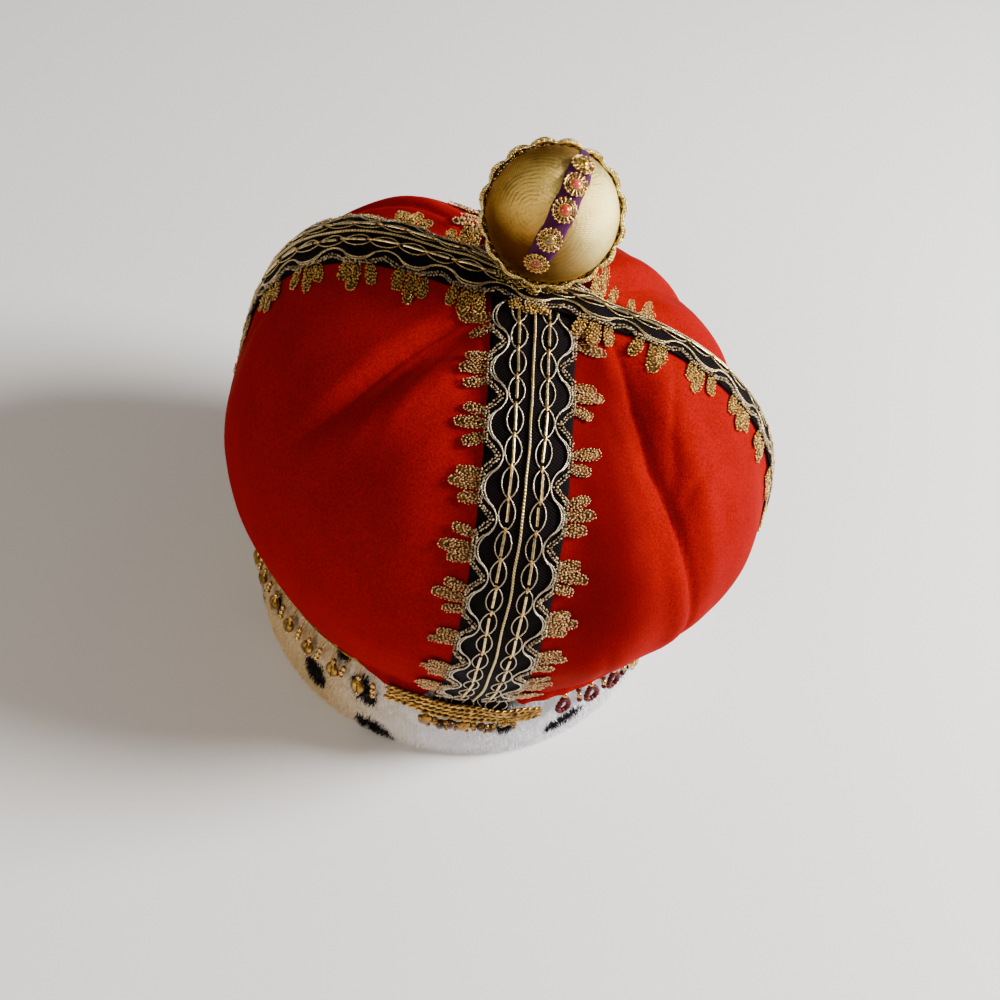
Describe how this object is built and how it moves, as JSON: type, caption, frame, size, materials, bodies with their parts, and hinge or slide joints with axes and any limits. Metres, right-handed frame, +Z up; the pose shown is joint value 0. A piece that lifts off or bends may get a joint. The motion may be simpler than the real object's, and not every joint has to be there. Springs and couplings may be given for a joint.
{
  "type": "costume crown",
  "caption": "Soft costume crown: a puffed red velvet cap on a white spotted fur band, with crossing black straps edged in gold lace, a gold cloth orb and a bead fringe.",
  "frame": {"origin": "centre of the head opening, on the surface that the fur band rests on", "axes": "+Z up through the crown, front at -Y where the crest is, +X to the wearer's left"},
  "size_m": [0.2403, 0.2311, 0.2637],
  "materials": {
    "velvet_red": "deep red pile velvet with a soft sheen",
    "fur_white": "white faux fur pile with soft black spots",
    "ribbon_black": "black ribbon worked with gold and silver thread",
    "lace_gold": "looped metallic gold thread lace",
    "orb_cloth": "gold metallic cloth, finely woven",
    "ribbon_purple": "dark purple velvet ribbon",
    "bead_gold": "bright gold beads and bullion cord",
    "filigree_gold": "gold filigree",
    "stone_yellow": "polished yellow gold cabochon",
    "stone_coral": "polished coral cabochon",
    "stone_orange": "polished orange red cabochon",
    "stone_dark_gold": "polished dark gold cabochon",
    "stone_brown": "polished red brown cabochon",
    "glass_amber": "clear amber glass"
  },
  "bodies": {
    "root": {"fur_band": "fur_white", "velvet_cap": "velvet_red", "long_strap": "ribbon_black", "cross_strap": "ribbon_black", "long_lace": "lace_gold", "cross_lace": "lace_gold", "orb": "orb_cloth", "orb_trim": "bead_gold", "orb_ribbon": "ribbon_purple", "front_crest": "bead_gold", "fringe_1": "bead_gold", "fringe_2": "bead_gold", "fringe_3": "bead_gold", "fringe_4": "bead_gold", "fringe_5": "bead_gold", "fringe_6": "bead_gold", "fringe_7": "bead_gold", "fringe_8": "bead_gold", "orb_flower_1": "filigree_gold", "crest_stone_1": "glass_amber", "orb_flower_2": "filigree_gold", "crest_stone_2": "glass_amber", "orb_flower_3": "filigree_gold", "crest_stone_3": "glass_amber", "orb_flower_4": "filigree_gold", "crest_stone_4": "glass_amber", "orb_flower_5": "filigree_gold", "crest_stone_5": "glass_amber", "orb_stone_1": "stone_yellow", "orb_stone_2": "stone_coral", "orb_stone_3": "stone_orange", "orb_stone_4": "stone_dark_gold", "orb_stone_5": "stone_brown"}
  },
  "joints": []
}
